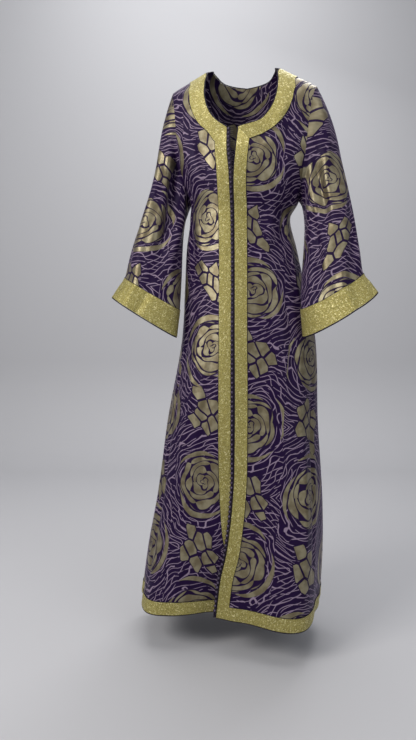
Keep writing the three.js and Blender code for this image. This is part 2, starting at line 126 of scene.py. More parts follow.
# ---- The body's shape, and the two fronts -----------------------------------------------------
# The fronts are brocade panels from the shoulder to the hem. They are cut flat, seamed at the
# shoulders and sides, and hang in soft folds. Sizes here are millimetres.
HEM = -1459
UNDERARM = -368
SHOULDER = -59
NECK_CORNER = -199
NECK_MITRE = -236
CENTRE_BACK_BRAID = -58
LAP_TOP = -1090
FRONT_BRAID = 32
HEM_BRAID = 32
MITRE_WIDTH = 34
SKIRT_TOP = HEM + HEM_BRAID
BRAID_AT_SHOULDER = -26
MIDDLE_BACK = -319
CLOTH = 1.6
GAP = 0.3
SKIRT_ROWS = 17
CHEST_ROWS = 10
BACK_NECK_ROWS = 6
# The wearer's left shoulder hangs lower than the right one: the drop for each millimetre across
# at the top, the height where it starts, and the rise over which it grows.
SHOULDER_TILT = 0.055
TILT_FROM = -800
TILT_RISE = 700
# Level sections at the hem are fuller than an ellipse, which is 1.
HEM_SQUARENESS = 0.87
FOLD_GROWTH = 1.3

# Level sections: height, centre, half width, depth in front, depth behind.
BODY = [
    (0, 0, 88, 48, 58), (-30, 0, 145, 56, 66), (-59, 0, 200, 65, 76), (-86, 0, 233, 75, 84),
    (-125, 0, 242, 86, 92), (-168, 0, 236.5, 96, 97), (-212, 0, 225, 106, 100),
    (-255, 0, 206, 118, 100), (-295, 0, 190, 121, 99), (-330, 0, 170, 120, 96),
    (-368, 0, 150.5, 116, 88), (-415, -12, 139, 107, 80), (-499, -8, 153, 110, 92),
    (-600, 0, 166, 118, 118), (-740, 10, 184, 130, 130), (-982, -8, 210, 140, 150),
    (-1149, -14, 226, 148, 160), (-1335, -31, 243, 158, 172), (HEM, -44, 247, 165, 180),
]
# The largest folds: angle round the body, reach to each side, depth at the hem, drop, top.
FOLDS = [
    (42, 34, 48, 10, -560), (-42, 26, 22, 6, -700), (-72, 15, -12, 0, -500), (112, 20, 16, 3, -640),
    (150, 22, 26, 6, -600), (180, 16, -14, 0, -560), (-150, 24, 30, 6, -520), (-108, 18, 14, 2, -760),
]
# How far the right front draws back under the left one: height, depth.
TUCK = [(-1000, 0), (LAP_TOP, 5), (-1186, 9), (-1300, 16), (-1390, 34), (HEM, 50)]
TUCK_FULL = 14
TUCK_REACH = 110
# How far the left front draws back at its hem corner, from what height, and how far across.
CORNER_LIFT = 14
CORNER_TOP = -1280
CORNER_REACH = 60
# Where the front edges run: height, left edge, right edge.
FRONT_EDGES = [
    (NECK_CORNER, 1, -31), (-266, -4, -28), (-318, -8, -23), (-357, -9.5, -21.5),
    (-666, -5.5, -15.5), (-969, -2.5, -14), (LAP_TOP, -3, -13), (-1186, -8, -9),
    (-1249, -14.5, -4), (-1299, -22, 3), (-1363, -37, 4), (HEM, -49, 2),
]
# The front neckline and its braid's outer edge: x and z of each.
FRONT_NECK = [
    (54, -182, 84, -206), (72, -164, 106, -184), (87, -138, 124, -155), (97, -104, 137, -120),
    (100, -68, 144, -84), (98, -30, 143, -52),
]
# The back neckline and its braid's lower edge: angle and z of each.
BACK_NECK = [
    (180, -22, 180, CENTRE_BACK_BRAID), (150, -14, 153, -45), (120, -3, 128, -28),
    (90, 0, 90, BRAID_AT_SHOULDER),
]
# The armhole: height, x.
ARMHOLE = [
    (UNDERARM, 150.5), (-356, 153), (-330, 158), (-295, 165), (-255, 171), (-212, 176),
    (-168, 180.5), (-125, 186), (-86, 193), (SHOULDER, 200),
]


def by_height(table, column):
    """A column of a table as a smooth function of height that never overshoots its rows."""
    rows = np.array(sorted(table), float)
    x, y = rows[:, 0], rows[:, column]
    slope = np.diff(y) / np.diff(x)
    before, after = np.r_[slope[0], slope], np.r_[slope, slope[-1]]
    same_way = before * after > 0
    tangent = np.where(same_way, 2 * before * after / np.where(same_way, before + after, 1), 0)

    def value(z):
        z = np.clip(z, x[0], x[-1])
        i = np.clip(np.searchsorted(x, z) - 1, 0, len(slope) - 1)
        span = x[i + 1] - x[i]
        t = (z - x[i]) / span
        low = (1 + 2 * t) * (1 - t) ** 2 * y[i] + t * (1 - t) ** 2 * span * tangent[i]
        return low + t * t * (3 - 2 * t) * y[i + 1] - t * t * (1 - t) * span * tangent[i + 1]

    return value


centre, half, front_depth, back_depth = (by_height(BODY, column) for column in (1, 2, 3, 4))
tuck = by_height(TUCK, 1)
left_edge, right_edge = by_height(FRONT_EDGES, 1), by_height(FRONT_EDGES, 2)
armhole_x = by_height(ARMHOLE, 1)


def smooth(value, low, high):
    t = np.clip((value - low) / (high - low), 0, 1)
    return t * t * (3 - 2 * t)


def power(value, exponent):
    return np.sign(value) * np.abs(value) ** exponent


def squareness(z):
    return HEM_SQUARENESS + (1 - HEM_SQUARENESS) * np.clip((z - HEM) / (UNDERARM - HEM), 0, 1)


def angle_at(x, z):
    across = np.clip((x - centre(z)) / half(z), -1, 1)
    return np.arcsin(power(across, 1 / squareness(z)))


def tilted(points):
    grown = np.clip((points[..., 2] - TILT_FROM) / TILT_RISE, 0, 1)
    points[..., 2] -= SHOULDER_TILT * points[..., 0] * grown
    return points


def right_drawn_in(x, z):
    return tuck(z) * smooth(x, left_edge(z) - TUCK_REACH, left_edge(z) - TUCK_FULL)


def left_drawn_in(x, z):
    return (CORNER_LIFT * smooth(-z, -CORNER_TOP, -HEM)
            * (1 - smooth(x, left_edge(z), left_edge(z) + CORNER_REACH)))


def not_drawn_in(x, z):
    return np.zeros_like(x)


def body_points(angle, z, drawn_in=not_drawn_in):
    """Points of the cloth's outer face, from angles round the body and heights."""
    across, ahead = power(np.sin(angle), squareness(z)), power(np.cos(angle), squareness(z))
    depth = np.where(ahead > 0, front_depth(z), back_depth(z))
    points = np.stack([centre(z) + half(z) * across, -depth * ahead, z + 0 * angle], -1)
    outward = np.stack([across / half(z), -ahead / depth, 0 * across], -1)
    outward /= np.linalg.norm(outward, axis=-1, keepdims=True)
    push = np.zeros_like(across)
    for fold_angle, reach, fold_depth, drop, top in FOLDS:
        away = np.abs((angle - math.radians(fold_angle) + math.pi) % (2 * math.pi) - math.pi)
        crest = np.cos(np.minimum(away / math.radians(reach), 1) * math.pi / 2) ** 2
        crest = crest * np.clip((top - z) / (top - HEM), 0, 1) ** FOLD_GROWTH
        push += fold_depth * crest
        points[..., 2] -= drop * crest
    push -= drawn_in(points[..., 0] + outward[..., 0] * push, z)
    return tilted(points + outward * push[..., None])


def place_curve(places):
    """A smooth curve through places, each an angle and a height, as a function of 0 to 1."""
    knots = np.array(places, float) * (1, 0.01)
    knots = np.vstack([2 * knots[0] - knots[1], knots, 2 * knots[-1] - knots[-2]])
    gaps = np.sqrt(np.linalg.norm(np.diff(knots, axis=0), axis=1))

    def at(t):
        s = np.clip(t, 0, 1) * (len(places) - 1)
        i = min(int(s), len(places) - 2)
        s -= i
        a, b, c, d = knots[i:i + 4]
        ab, bc, cd = gaps[i:i + 3]
        leave = ((b - a) / ab - (c - a) / (ab + bc) + (c - b) / bc) * bc
        reach = ((c - b) / bc - (d - b) / (bc + cd) + (d - c) / cd) * bc
        point = (b + leave * s + (-3 * b + 3 * c - 2 * leave - reach) * s ** 2
                 + (2 * b - 2 * c + leave + reach) * s ** 3)
        return point[0], point[1] * 100

    return at


def side_place(row):
    """The angle and height at which a coarse row meets the side seam, or the armhole above it."""
    if row <= SKIRT_ROWS:
        return math.pi / 2, SKIRT_TOP + (UNDERARM - SKIRT_TOP) * row / SKIRT_ROWS
    part = (row - SKIRT_ROWS) / CHEST_ROWS
    z = UNDERARM + (SHOULDER - UNDERARM) * (1 - math.cos(math.pi * part)) / 2
    return (float(angle_at(armhole_x(z), z)) if 0 < part < 1 else math.pi / 2), z


def along_row(inner, seam, count):
    t = np.linspace(0, 1, count + 1)
    angles = inner[0] + (seam[0] - inner[0]) * t
    heights = inner[1] + (seam[1] - inner[1]) * (1 - (1 - t) ** 2)
    return np.stack([angles, heights], -1)


# Fine rows, counted in the coarse rows that the tables stand for.
HEM_STEPS = 5
NECK_ROW = SKIRT_ROWS + CHEST_ROWS - BACK_NECK_ROWS
rows_below = np.linspace(0, SKIRT_ROWS, 111)
rows_beside = np.linspace(SKIRT_ROWS, NECK_ROW, 29)
rows_above = np.linspace(NECK_ROW, SKIRT_ROWS + CHEST_ROWS, 41)
fine_rows = np.r_[rows_below, rows_beside[1:], rows_above[1:]]
# A front's columns: under its braid, then across its field. Creases die out over a few at a seam.
STRIP = 5
FIELD = 56
SEAM_HOLD = 7
PLACKET_END = HEM_STEPS + len(rows_below) - 1


def front_places(side):
    """Angles and heights of one front, as if it were the left one."""
    edge = left_edge if side > 0 else right_edge

    def on_edge(z, inward):
        return float(angle_at(edge(z) + side * inward, z)) * side, z

    def line_of(corner, x_column, shoulder):
        beside = [(float(angle_at(line[x_column], line[x_column + 1])), line[x_column + 1])
                  for line in FRONT_NECK]
        return place_curve([corner, *beside, (math.pi / 2, shoulder)])

    neck = line_of(on_edge(NECK_CORNER, 0), 0, 0)
    braid = line_of(on_edge(NECK_MITRE, MITRE_WIDTH), 2, BRAID_AT_SHOULDER)
    rows = []

    def add_row(free, inner, seam):
        t = np.linspace(0, 1, STRIP + 1)[:-1, None]
        strip = np.array(free) + (np.array(inner) - np.array(free)) * t
        rows.append(np.vstack([strip, along_row(inner, seam, FIELD)]))

    for step in range(HEM_STEPS):
        z = HEM + HEM_BRAID * step / HEM_STEPS
        add_row(on_edge(z, 0), on_edge(z, FRONT_BRAID), (math.pi / 2, z))
    for row in fine_rows:
        if row <= SKIRT_ROWS:
            part = row / SKIRT_ROWS
            free = on_edge(SKIRT_TOP + (NECK_CORNER - SKIRT_TOP) * part, 0)
            inner = on_edge(SKIRT_TOP + (NECK_MITRE - SKIRT_TOP) * part, FRONT_BRAID)
        else:
            part = (row - SKIRT_ROWS) / CHEST_ROWS
            free, inner = neck(part), braid(part)
        add_row(free, inner, side_place(row))
    return np.array(rows)


def facing(points, middle):
    """Unit normals of a grid of points, on the side away from middle."""
    normals = np.cross(np.gradient(points, axis=1), np.gradient(points, axis=0))
    normals /= np.maximum(np.linalg.norm(normals, axis=-1, keepdims=True), 1e-9)
    return normals * np.sign(np.sum(normals * (points - middle)))


def flat_body(angle, z):
    """Flat-pattern coordinates on the body: the distance round from the centre, and the height."""
    turns, steps = 180, 159
    levels = np.linspace(HEM - 20, 0, steps + 1)
    points = body_points(*np.meshgrid(np.linspace(0, math.pi, turns + 1), levels))
    length = np.cumsum(np.linalg.norm(np.diff(points, axis=1), axis=-1), axis=1)
    length = np.hstack([np.zeros((len(levels), 1)), length])
    column = np.clip(np.abs(angle) / math.pi * turns, 0, turns - 0.001)
    level = np.clip((z - levels[0]) / (levels[-1] - levels[0]) * steps, 0, steps - 0.001)
    c, r = column.astype(int), level.astype(int)
    fc, fr = column - c, level - r
    u = ((length[r, c] * (1 - fc) + length[r, c + 1] * fc) * (1 - fr)
         + (length[r + 1, c] * (1 - fc) + length[r + 1, c + 1] * fc) * fr)
    return np.stack([u * np.sign(angle), z], -1)


def from_seam(shape, columns=(), first_row=False):
    """How freely the cloth moves: 0 along its seams, and 1 from a few columns or rows away from them."""
    free = np.ones(shape)
    step = np.arange(shape[1])
    for column in columns:
        free = free * smooth(step if column == 0 else step[::-1], 0, SEAM_HOLD)
    return free * smooth(np.arange(shape[0]), 0, SEAM_HOLD)[:, None] if first_row else free


CREASE_REACH = 0.62


def creased(points, normals, flat, creases, free):
    """Moves the cloth along its normals by soft creases. Each runs between two places of the flat
    pattern and has a half width and a depth, which is negative for a trough."""
    shift = np.zeros(points.shape[:-1])
    for u0, v0, u1, v1, width, depth in creases:
        run = np.array([u1 - u0, v1 - v0], float)
        length = np.linalg.norm(run)
        away = flat - np.array([u0, v0], float)
        along = np.abs((away @ run) / length ** 2 - 0.5) / CREASE_REACH
        across = np.abs(away @ np.array([-run[1], run[0]])) / length / width
        for distance in (along, across):
            depth = depth * np.cos(np.clip(distance, 0, 1) * math.pi / 2) ** 2
        shift += depth
    return points + normals * (shift * free)[..., None]


def panel(angle, z, flat, drawn_in, creases, seams):
    """The grid of a panel: points and outward normals of its outer face, and its flat pattern."""
    points = body_points(angle, z, drawn_in)
    axis = np.stack([centre(z), 0 * z, z], -1)
    points = creased(points, facing(points, axis), flat, creases, from_seam(angle.shape, seams))
    return {"points": points, "normals": facing(points, axis), "flat": flat}


def add_mesh(name, points, faces):
    """A new object with a mesh, from points in millimetres and faces."""
    mesh = bpy.data.meshes.new(name)
    mesh.from_pydata((points.reshape(-1, 3) * MM).tolist(), [], faces)
    return add_object(name, mesh)


def quads_of(index):
    """The quads between the rows and columns of a grid of point numbers."""
    return np.stack([index[:-1, :-1], index[:-1, 1:], index[1:, 1:], index[1:, :-1]], -1).reshape(-1, 4)


def shell(name, grid, inner, outer, ring=False):
    """A closed wall over a grid, between two distances from it, as a new object."""
    points, normals, flat = grid["points"], grid["normals"], grid["flat"]
    rows, columns = points.shape[:2]
    top, bottom = (points + normals * outer).reshape(-1, 3), (points + normals * inner).reshape(-1, 3)
    point_of = np.arange(rows * columns).reshape(rows, columns)
    if ring:
        # The last column meets the first one, but its place on the flat pattern runs on.
        point_of = np.hstack([point_of, point_of[:, :1]])
        flat = np.hstack([flat, 2 * flat[:, -1:] - flat[:, -2:-1]])
    count = point_of.size
    point_of = np.r_[point_of.ravel(), point_of.ravel() + rows * columns]
    index = np.arange(count).reshape(rows, -1)
    quads = quads_of(index)
    a, b, c, d = point_of[quads[len(quads) // 2]]
    if np.cross(top[c] - top[a], top[d] - top[b]) @ normals.reshape(-1, 3)[a] < 0:
        quads = quads[:, ::-1]
    edges = np.vstack([quads[:, [i, (i + 1) % 4]] for i in range(4)])
    starts, ends = point_of[edges].T
    rim = edges[~np.isin(starts * count + ends, ends * count + starts)]
    walls = np.stack([rim[:, 1], rim[:, 0], rim[:, 0] + count, rim[:, 1] + count], -1)
    faces = np.vstack([quads, quads[:, ::-1] + count, walls])
    piece = add_mesh(name, np.vstack([top, bottom]), point_of[faces].tolist())
    uv = piece.data.uv_layers.new(name="flat")
    corners = np.vstack([flat.reshape(-1, 2)] * 2)[faces.ravel()] * MM
    uv.data.foreach_set("uv", corners.astype(np.float32).ravel())
    piece.data.shade_smooth()
    with bpy.context.temp_override(object=piece, active_object=piece, selected_objects=[piece],
                                   selected_editable_objects=[piece]):
        bpy.ops.object.shade_smooth_by_angle(angle=math.radians(50))
    return piece


def joined(parts):
    """Joins objects into the first of them."""
    with bpy.context.temp_override(object=parts[0], active_object=parts[0], selected_objects=parts,
                                   selected_editable_objects=parts):
        bpy.ops.object.join()
    return parts[0]


def attach(piece, material, slot, *nodes):
    piece.data.materials.append(material)
    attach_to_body(piece, "root")
    if nodes:
        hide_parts(*nodes)


# Creases of the fronts: from and to on the flat pattern, half width, depth.
LEFT_FRONT_CREASES = [
    (150, -150, 95, -330, 26, -5), (168, -330, 120, -520, 20, -6), (120, -350, 60, -600, 24, 5),
    (150, -420, 175, -760, 16, 5), (118, -560, 150, -980, 26, -6), (60, -700, 78, -1300, 22, -4),
    (215, -800, 250, -1400, 18, -7), (175, -900, 215, -1440, 20, 6), (100, -1150, 120, -1440, 16, -5),
    (40, -300, 75, -180, 18, -3), (90, -200, 130, -120, 16, 4), (20, -1180, 28, -1430, 14, 3),
]
RIGHT_FRONT_CREASES = [
    (-150, -170, -100, -350, 24, -5), (-162, -340, -128, -560, 18, -6), (-128, -360, -80, -620, 22, 4),
    (-165, -480, -190, -900, 15, 6), (-178, -560, -215, -1200, 14, -7), (-120, -640, -150, -1280, 24, 5),
    (-75, -720, -88, -1380, 20, -5), (-240, -900, -275, -1440, 18, 8), (-210, -1000, -236, -1440, 16, -8),
    (-45, -320, -80, -190, 18, -3), (-60, -1050, -70, -1300, 18, -4), (-110, -1230, -122, -1440, 16, 6),
]

fronts = {}
for side, name, drawn_in, creases in ((1, "left", left_drawn_in, LEFT_FRONT_CREASES),
                                      (-1, "right", right_drawn_in, RIGHT_FRONT_CREASES)):
    places = front_places(side)
    angle, z = places[..., 0] * side, places[..., 1]
    fronts[name] = panel(angle, z, flat_body(angle, z), drawn_in, creases, (-1,))

# ---- The brocade ------------------------------------------------------------------------------
# Purple satin with champagne gold roses and leaves and thin lilac outlines, woven in a
# half-drop repeat. The pattern runs straight up the flat pattern of every panel.


def add_node(tree_, kind, sources, **settings):
    """The outputs of a new node with these inputs and settings."""
    node = tree_.nodes.new("ShaderNode" + kind)
    for name, value in settings.items():
        setattr(node, name, value)
    feed(tree_, node, sources)
    return node.outputs


def math_of(tree_, *start):
    """A function that adds a math node from an operation and its terms, or from what follows start."""
    def calculate(*rest):
        operation, *terms = start + rest
        return add_node(tree_, "Math", dict(enumerate(terms)), operation=operation)[0]
    return calculate


def ramp(tree_, value, low, high):
    """0 below low, 1 above high, smooth between. The other way round if low is the larger one."""
    sources = {"Value": value, "From Min": min(low, high), "From Max": max(low, high),
               "To Min": int(low > high), "To Max": int(low <= high)}
    return add_node(tree_, "MapRange", sources, interpolation_type="SMOOTHSTEP")["Result"]


def noise(tree_, place, scale, detail=2.0):
    return add_node(tree_, "TexNoise", {"Vector": place, "Scale": scale, "Detail": detail})


def mixed(tree_, factor, first, second):
    return add_node(tree_, "Mix", {0: factor, 6: first, 7: second}, data_type="RGBA")[2]


def bump(tree_, height, strength, distance):
    sources = {"Height": height, "Strength": strength, "Distance": distance}
    return add_node(tree_, "Bump", sources)[0]


def moved(tree_, place, colour, reach):
    """A place moved by a noise's colour, by up to reach."""
    return add_node(tree_, "VectorMath", {0: colour, 1: (reach, reach, 0), 2: place},
                    operation="MULTIPLY_ADD")[0]


tree = bpy.data.node_groups.new("rose brocade", "ShaderNodeTree")
tree.interface.new_socket("Flat", in_out="INPUT", socket_type="NodeSocketVector")
for name in ("Gold", "Outline", "Thread"):
    tree.interface.new_socket(name, in_out="OUTPUT", socket_type="NodeSocketFloat")
flat_in = tree.nodes.new("NodeGroupInput").outputs["Flat"]
weave_out = tree.nodes.new("NodeGroupOutput")
m = math_of(tree)
plus, minus, times, over, magnitude = (
    math_of(tree, operation) for operation in ("ADD", "SUBTRACT", "MULTIPLY", "DIVIDE", "ABSOLUTE"))

# The repeat, in metres: columns of roses, every other one dropped by half. Each rose has a number.
COLUMN = 0.172
REPEAT = 0.345
PATTERN_START = (0.079, 0.10)
bent = moved(tree, flat_in, noise(tree, flat_in, 9.0)["Color"], 0.022)
bent_u, bent_v, _ = add_node(tree, "SeparateXYZ", {0: bent})
place_u, place_v = plus(bent_u, PATTERN_START[0]), plus(bent_v, PATTERN_START[1])
column = m("FLOOR", over(place_u, COLUMN))
local_u = minus(minus(place_u, times(column, COLUMN)), COLUMN / 2)
dropped = plus(place_v, times(m("FLOORED_MODULO", column, 2.0), REPEAT / 2))
row = m("FLOOR", over(dropped, REPEAT))
local_v = minus(minus(dropped, times(row, REPEAT)), REPEAT / 2)
cell_of = add_node(tree, "CombineXYZ", {0: column, 1: row})[0]
own_number = add_node(tree, "TexWhiteNoise", {"Vector": cell_of}, noise_dimensions="2D")["Value"]

# The rose: gold petals in rings that wind into a spiral, with purple between them.
ROSE = 0.067
ROSE_SQUASH = 1.08
RINGS = 4.6
RING_WOBBLE = 0.24
PETAL_HALF = 0.435
PETAL_TAPER = 0.40
SCALLOP = 0.13
wide = times(local_u, ROSE_SQUASH)
radius = m("SQRT", plus(times(wide, wide), times(local_v, local_v)))
turn = plus(over(m("ARCTAN2", local_v, wide), 2 * math.pi), own_number)
share = over(radius, ROSE)
wobble = times(m("SINE", times(plus(turn, times(share, 0.45)), 6 * math.pi)), RING_WOBBLE)
rings = plus(plus(times(m("POWER", share, 0.8), RINGS), turn), wobble)
ring_number, ring_part = m("FLOOR", rings), m("FRACT", rings)
petal_count = plus(1.0, times(m("MINIMUM", ring_number, 4.0), 0.75))
petal_turn = plus(times(turn, petal_count), times(ring_number, 0.37))
petal_part = magnitude(minus(m("FRACT", petal_turn), 0.5))
petal_width = minus(PETAL_HALF, times(m("POWER", times(petal_part, 2.0), 5.0), PETAL_TAPER))
petal = ramp(tree, minus(petal_width, magnitude(minus(ring_part, 0.5))), -0.03, 0.05)
scallop = times(magnitude(m("SINE", times(plus(turn, own_number), 5 * math.pi))), SCALLOP)
from_rose = minus(share, scallop)
gold = times(petal, ramp(tree, from_rose, 0.96, 0.93))

# Bold crescents outside each rose: turn, distance, reach in turns and half breadth of each.
CRESCENTS = [(0.10, 0.084, 0.17, 0.0080), (0.52, 0.080, 0.12, 0.0062), (0.78, 0.096, 0.10, 0.0060)]
for lag, distance, reach, breadth in CRESCENTS:
    swing = minus(m("FRACT", plus(turn, lag)), 0.5)
    fall = minus(1.0, m("POWER", over(magnitude(swing), reach), 2.0))
    off = magnitude(minus(radius, plus(distance, times(swing, 0.05))))
    gold = m("MAXIMUM", gold, ramp(tree, minus(times(fall, breadth), off), 0.0, 0.0008))

# Leaves: clusters of long slanting gold cells halfway between the roses of a column.
LEAF = (0.024, 0.040)
CLUSTER = (0.038, 0.066)
SLANT_ALONG, SLANT_ACROSS = 0.86, 0.50
leaf_v = times(minus(magnitude(local_v), REPEAT / 2), m("SIGN", local_v))
slant_u = plus(times(local_u, SLANT_ALONG), times(leaf_v, SLANT_ACROSS))
slant_v = minus(times(leaf_v, SLANT_ALONG), times(local_u, SLANT_ACROSS))
cluster_u = times(column, 17.0)
cluster_v = times(plus(row, m("GREATER_THAN", local_v, 0.0)), 13.0)
leaf_place = add_node(tree, "CombineXYZ", {0: plus(over(slant_u, LEAF[0]), cluster_u),
                                           1: plus(over(slant_v, LEAF[1]), cluster_v)})[0]


def leaf_cells(feature):
    return add_node(tree, "TexVoronoi", {"Vector": leaf_place, "Scale": 1.0, "Randomness": 0.72},
                    voronoi_dimensions="2D", feature=feature)


edge = leaf_cells("DISTANCE_TO_EDGE")["Distance"]
cell = leaf_cells("F1")
middle_u, middle_v, _ = add_node(tree, "SeparateXYZ", {0: cell["Position"]})
cell_u = times(minus(middle_u, cluster_u), LEAF[0] / CLUSTER[0])
cell_v = times(minus(middle_v, cluster_v), LEAF[1] / CLUSTER[1])
in_cluster = m("LESS_THAN", plus(times(cell_u, cell_u), times(cell_v, cell_v)), 1.0)
leaf = times(ramp(tree, edge, 0.075, 0.10), ramp(tree, cell["Distance"], 0.70, 0.64))
gold = m("MINIMUM", m("MAXIMUM", gold, times(leaf, in_cluster)), 1.0)

# Thin outlines flow round the motifs: two families of lines, close together, that part and
# meet again. Each has a spacing, a swell and the scale of its noise.
loose = moved(tree, bent, noise(tree, flat_in, 15.0, 1.0)["Color"], 0.050)
outline = 0.0
for spacing, swell, scale in ((0.0130, 5.5, 8.0), (0.0170, 7.0, 11.0)):
    waves = plus(over(radius, spacing), times(noise(tree, loose, scale, 1.5)["Fac"], swell))
    line = ramp(tree, magnitude(minus(m("FRACT", waves), 0.5)), 0.082, 0.050)
    line = times(line, ramp(tree, noise(tree, loose, 30.0 + scale, 1.0)["Fac"], 0.36, 0.42))
    outline = m("MAXIMUM", outline, line)
near_leaf = times(in_cluster, ramp(tree, cell["Distance"], 0.80, 0.74))
clear = times(ramp(tree, from_rose, 0.97, 1.03), minus(1.0, near_leaf))
outline = times(times(outline, clear), minus(1.0, gold))

# The weave itself: fine slanting floats.
thread = add_node(tree, "TexWave", {"Vector": flat_in, "Scale": 420, "Distortion": 1.5},
                  bands_direction="DIAGONAL")["Fac"]
feed(tree, weave_out, {"Gold": gold, "Outline": outline, "Thread": thread})

GROUND = (0.0080, 0.0018, 0.0215, 1)
GROUND_LIGHT = (0.0145, 0.0040, 0.0370, 1)
LILAC = (0.245, 0.185, 0.260, 1)
GOLD = (0.160, 0.132, 0.080, 1)
GOLD_PALE = (0.265, 0.236, 0.155, 1)
brocade, b = new_material("rose brocade")
mb = math_of(b)
flat_map = add_node(b, "UVMap", {}, uv_map="flat")[0]
woven = add_node(b, "Group", {"Flat": flat_map}, node_tree=tree)
patches = noise(b, flat_map, 38.0, 3.0)["Fac"]
ground = mixed(b, patches, GROUND, GROUND_LIGHT)
gilt = mixed(b, ramp(b, patches, 0.35, 0.65), GOLD, GOLD_PALE)
relief = mb("ADD", mb("MULTIPLY", woven["Gold"], 0.8), mb("MULTIPLY", woven["Thread"], 0.25))
shade(b, {
    "Base Color": mixed(b, woven["Gold"], mixed(b, woven["Outline"], ground, LILAC), gilt),
    "Metallic": mb("ADD", 0.10, mb("MULTIPLY", woven["Gold"], 0.55)),
    "Roughness": mb("SUBTRACT", 0.46, mb("MULTIPLY", woven["Gold"], 0.08)),
    "Specular IOR Level": 0.10,
    "Sheen Weight": 0.09,
    "Sheen Roughness": 0.4,
    "Sheen Tint": (0.55, 0.40, 0.80, 1),
    "Normal": bump(b, relief, 0.5, 0.0006),
})

# How far the pattern is moved across and up on each piece, in millimetres.
PATTERN_SHIFT = {"front_left": (-44, 0), "front_right": (70, 148), "back": (20, 60),
                 "sleeve_left": (-75, 0), "sleeve_right": (-52, 117)}


def sewn(node, grid, ring=False):
    """The brocade piece that stands for a node."""
    shifted = {**grid, "flat": grid["flat"] + PATTERN_SHIFT[node]}
    attach(shell(node + "_cloth", shifted, -CLOTH, 0, ring), brocade, "brocade", node)


for name, front in fronts.items():
    sewn("front_" + name, front)

# ---- The back ---------------------------------------------------------------------------------
# One brocade panel from the neck and shoulders to the hem. It rounds over the hips behind and
# falls in three deep soft folds.
BACK_CREASES = [
    (-120, -150, -60, -330, 26, -5), (120, -150, 64, -330, 26, -5), (-90, -330, -40, -560, 24, 5),
    (95, -340, 50, -600, 22, 5), (0, -420, 6, -900, 26, -6), (-70, -620, -96, -1300, 22, 6),
    (80, -640, 104, -1380, 22, 6), (-150, -560, -190, -1200, 20, -7), (160, -560, 205, -1250, 20, -7),
    (40, -900, 52, -1440, 18, -6), (-36, -980, -48, -1440, 18, -5), (150, -1100, 168, -1440, 16, 6),
    (-215, -900, -250, -1440, 18, 7), (225, -950, 262, -1440, 18, 7), (20, -1150, 22, -1440, 16, 5),
]
# Rows along the shoulder seam up to the neck braid, and how many rows below it bend to its line.
SHOULDER_STEPS = 9
BENT_ROWS = 45
back_neck = place_curve([(math.radians(angle), z) for angle, z, _, _ in BACK_NECK])
back_braid = place_curve([(math.radians(angle), z) for _, _, angle, z in BACK_NECK])
seams = [(math.pi / 2, HEM + HEM_BRAID * step / HEM_STEPS) for step in range(HEM_STEPS)]
middles = [z for _, z in seams]
seams += [side_place(row) for row in fine_rows]
shoulder_heights = np.linspace(SHOULDER, BRAID_AT_SHOULDER, SHOULDER_STEPS + 1)
seams += [(math.pi / 2, z) for z in shoulder_heights[1:]]
upper_rows = len(seams) - HEM_STEPS - len(rows_below)
middles += list(np.linspace(SKIRT_TOP, MIDDLE_BACK, len(rows_below)))
middles += list(np.linspace(MIDDLE_BACK, CENTRE_BACK_BRAID, upper_rows + 1)[1:])
across = np.linspace(0, 1, FIELD + 1)
braid_line = np.array([back_braid(t) for t in across])
neck_line = np.array([back_neck(t) for t in across])
bend = braid_line - along_row((math.pi, CENTRE_BACK_BRAID), (math.pi / 2, BRAID_AT_SHOULDER), FIELD)
half_back = []
for number, ((seam_angle, seam_z), middle_z) in enumerate(zip(seams, middles)):
    row = along_row((math.pi, middle_z), (math.pi - seam_angle, seam_z), FIELD)
    half_back.append(row + bend * smooth(number, len(seams) - BENT_ROWS, len(seams) - 1))
NECK_FROM = len(half_back) - 1
half_back += [braid_line + (neck_line - braid_line) * step / STRIP for step in range(1, STRIP + 1)]
half_back = np.array(half_back)
places = np.hstack([half_back[:, ::-1] * (-1, 1), half_back[:, 1:]])
angle, z = places[..., 0], places[..., 1]
flat = flat_body(angle, z)
# The pattern is centred on the centre back.
half_round = np.abs(flat_body(np.full_like(z, math.pi), z)[..., 0])
flat[..., 0] = np.sign(angle) * (half_round - np.abs(flat[..., 0]))
flat[:, FIELD, 0] = 0
back = panel(angle, z, flat, not_drawn_in, BACK_CREASES, (0, -1))
sewn("back", back)

# ---- The sleeves ------------------------------------------------------------------------------
# Flared brocade tubes, set into the armholes and seamed along the inside. The arms hang a
# little forward, so the cuffs hang in front of the hips. The left sleeve is the fuller one.
# Sections: outer x and z, inner x and z, middle and half of the depth, the left one's bow and sag.
SLEEVE = [
    (214, -96, 157, -378, 2, 71, 4, 0), (228, -150, 160, -388, -2, 67, 10, 0),
    (237, -206, 162.5, -401, -7, 62, 16, 0), (243, -263, 165, -420, -18, 58, 20, 0),
    (252, -317, 167, -451, -28, 57, 22, 0), (264, -369, 166, -490, -42, 56, 20, 0),
    (279, -422, 164, -534, -56, 55, 14, 4), (292, -474, 161.5, -580, -70, 52, 8, 8),
    (303, -530, 160, -628, -84, 48, 4, 13), (312.5, -586, 160, -673, -95, 46, 0, 17),
    (328, -612, 163, -708, -100, 45, 0, 18), (344, -638, 166, -744, -105, 44, 0, 18),
]
CUFF_FROM = 10
RING_STEPS = 8
AROUND = 80
